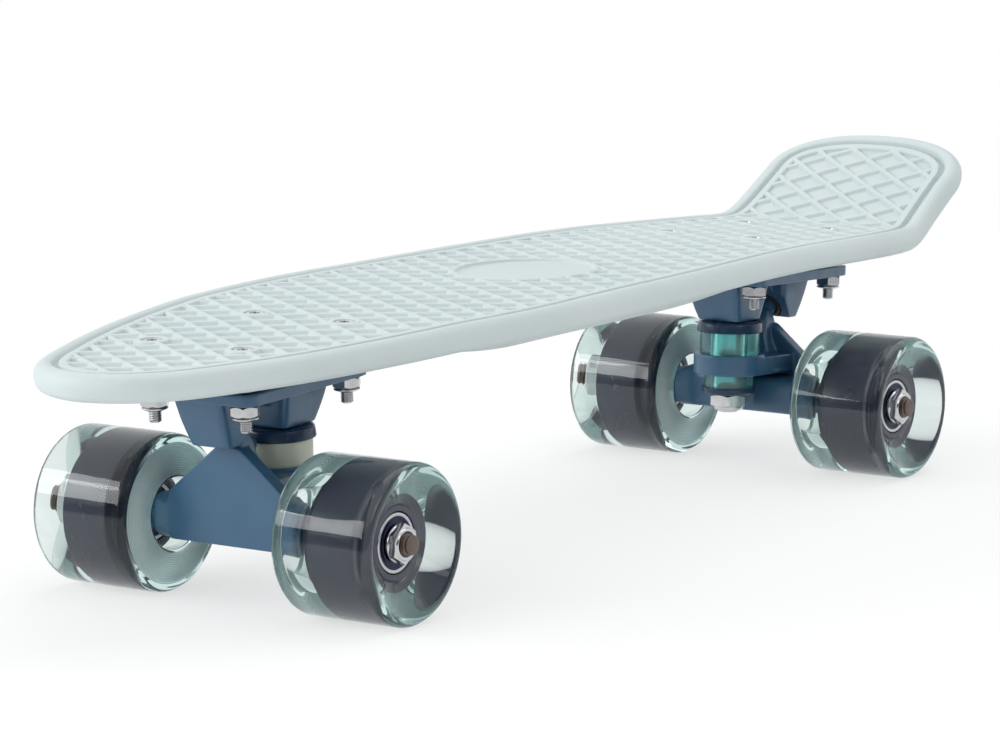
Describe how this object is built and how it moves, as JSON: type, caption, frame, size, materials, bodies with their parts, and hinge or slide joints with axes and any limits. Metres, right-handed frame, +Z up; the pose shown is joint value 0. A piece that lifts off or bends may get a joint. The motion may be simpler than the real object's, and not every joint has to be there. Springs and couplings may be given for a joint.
{
  "type": "cruiser skateboard",
  "caption": "Small cruiser skateboard: moulded deck with a kicked tail and a waffle top, cast trucks with kingpin bushings, and soft wide wheels on ball bearings.",
  "frame": {"origin": "middle of the footprint, on the ground under the wheels", "axes": "+X towards the nose, +Y towards the board's left side, +Z up"},
  "size_m": [0.559, 0.1534, 0.1294],
  "materials": {
    "deck_plastic": "satin moulded plastic, pale blue-grey",
    "truck_paint": "satin blue powder coat on cast metal",
    "bright_steel": "bright zinc plate",
    "pivot_cup_urethane": "brown-black urethane",
    "front_bushing_urethane": "cream urethane",
    "rear_bushing_urethane": "translucent teal urethane",
    "wheel_urethane": "clear aqua urethane, polished tread",
    "core_plastic": "smooth near-black plastic",
    "bearing_shield": "steel ring with a blue-violet shield"
  },
  "bodies": {
    "board": {"deck": "deck_plastic", "front_baseplate": "truck_paint", "front_kingpin": "bright_steel", "front_kingpin_nut": "bright_steel", "front_pivot_cup": "pivot_cup_urethane", "front_upper_washer": "truck_paint", "front_lower_washer": "truck_paint", "front_upper_bushing": "front_bushing_urethane", "front_lower_bushing": "front_bushing_urethane", "front_inner_left_bolt": "bright_steel", "front_inner_left_nut": "bright_steel", "front_inner_right_bolt": "bright_steel", "front_inner_right_nut": "bright_steel", "front_outer_left_bolt": "bright_steel", "front_outer_left_nut": "bright_steel", "front_outer_right_bolt": "bright_steel", "front_outer_right_nut": "bright_steel", "rear_baseplate": "truck_paint", "rear_kingpin": "bright_steel", "rear_kingpin_nut": "bright_steel", "rear_pivot_cup": "pivot_cup_urethane", "rear_upper_washer": "truck_paint", "rear_lower_washer": "truck_paint", "rear_upper_bushing": "rear_bushing_urethane", "rear_lower_bushing": "rear_bushing_urethane", "rear_inner_left_bolt": "bright_steel", "rear_inner_left_nut": "bright_steel", "rear_inner_right_bolt": "bright_steel", "rear_inner_right_nut": "bright_steel", "rear_outer_left_bolt": "bright_steel", "rear_outer_left_nut": "bright_steel", "rear_outer_right_bolt": "bright_steel", "rear_outer_right_nut": "bright_steel"},
    "front_truck": {"front_hanger": "truck_paint", "front_axle": "bright_steel", "front_left_axle_nut": "bright_steel", "front_right_axle_nut": "bright_steel"},
    "rear_truck": {"rear_hanger": "truck_paint", "rear_axle": "bright_steel", "rear_left_axle_nut": "bright_steel", "rear_right_axle_nut": "bright_steel"},
    "front_left_wheel": {"front_left_tyre": "wheel_urethane", "front_left_core": "core_plastic", "front_left_outboard_bearing": "bearing_shield", "front_left_inboard_bearing": "bearing_shield"},
    "front_right_wheel": {"front_right_tyre": "wheel_urethane", "front_right_core": "core_plastic", "front_right_outboard_bearing": "bearing_shield", "front_right_inboard_bearing": "bearing_shield"},
    "rear_left_wheel": {"rear_left_tyre": "wheel_urethane", "rear_left_core": "core_plastic", "rear_left_outboard_bearing": "bearing_shield", "rear_left_inboard_bearing": "bearing_shield"},
    "rear_right_wheel": {"rear_right_tyre": "wheel_urethane", "rear_right_core": "core_plastic", "rear_right_outboard_bearing": "bearing_shield", "rear_right_inboard_bearing": "bearing_shield"}
  },
  "joints": [
    {"name": "front_steer", "type": "hinge", "parent": "board", "child": "front_truck", "pos_m": [0.16172, 0, 0.0448], "axis": [0.8329, 0, 0.5534], "range_deg": [-12, 12], "stiffness_Nm_per_rad": 60, "deforming": ["front_upper_bushing", "front_lower_bushing"]},
    {"name": "rear_steer", "type": "hinge", "parent": "board", "child": "rear_truck", "pos_m": [-0.14572, 0, 0.0448], "axis": [-0.8329, 0, 0.5534], "range_deg": [-12, 12], "stiffness_Nm_per_rad": 60, "deforming": ["rear_upper_bushing", "rear_lower_bushing"]},
    {"name": "front_left_spin", "type": "hinge", "parent": "front_truck", "child": "front_left_wheel", "pos_m": [0.183, 0.0552, 0.0295], "axis": [0, 1, 0], "continuous": true},
    {"name": "front_right_spin", "type": "hinge", "parent": "front_truck", "child": "front_right_wheel", "pos_m": [0.183, -0.0552, 0.0295], "axis": [0, 1, 0], "continuous": true},
    {"name": "rear_left_spin", "type": "hinge", "parent": "rear_truck", "child": "rear_left_wheel", "pos_m": [-0.167, 0.0552, 0.0295], "axis": [0, 1, 0], "continuous": true},
    {"name": "rear_right_spin", "type": "hinge", "parent": "rear_truck", "child": "rear_right_wheel", "pos_m": [-0.167, -0.0552, 0.0295], "axis": [0, 1, 0], "continuous": true}
  ]
}
